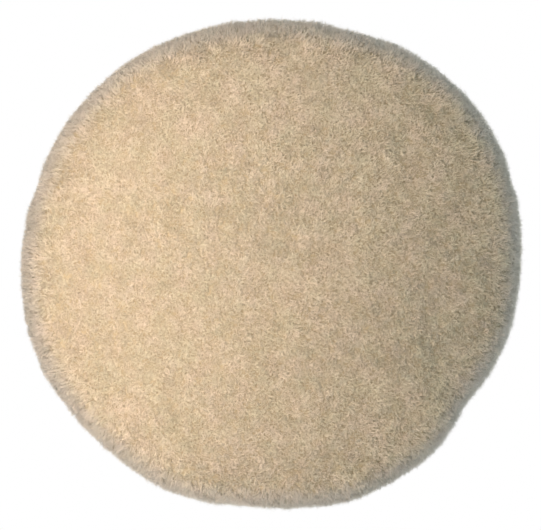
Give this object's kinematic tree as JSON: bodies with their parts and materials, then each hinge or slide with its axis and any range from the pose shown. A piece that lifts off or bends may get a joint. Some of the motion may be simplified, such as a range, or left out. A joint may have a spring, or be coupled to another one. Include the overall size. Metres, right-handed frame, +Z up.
{
  "type": "polishing pad",
  "caption": "Round lambswool polishing pad: short-sheared wool over a foam cushion, with a hook-and-loop back and a centring ring.",
  "frame": {"origin": "centre of the loop fabric's mounting face, on the pad's axis", "axes": "+Y out of the loop face, towards the machine's backing plate; the wool face looks along -Y; X and Z lie in the mounting face, with +Z up when the pad stands on its rim"},
  "size_m": [0.18, 0.0323, 0.18],
  "materials": {
    "wool": "short-sheared natural lambswool, warm cream, matt with a soft sheen",
    "hide": "undyed tanned sheepskin, suede flesh side",
    "adhesive": "dried contact adhesive, amber",
    "foam": "open-cell polyurethane foam, charcoal",
    "board": "flexible fibre-filled stiffening board",
    "felt": "grey needled felt",
    "ring": "black moulded plastic, fine matt",
    "loop_ground": "pale grey warp-knitted ground",
    "loop_pile": "pale grey brushed nylon loops",
    "thread": "natural bonded sewing thread"
  },
  "bodies": {
    "root": {"wool_pile": "wool", "sheepskin_hide": "hide", "cover_glue": "adhesive", "foam_cushion": "foam", "board_glue": "adhesive", "backing_board": "board", "felt_filler": "felt", "centring_ring": "ring", "loop_glue": "adhesive", "loop_ground": "loop_ground", "loop_pile": "loop_pile", "edge_stitches": "thread"}
  },
  "joints": []
}
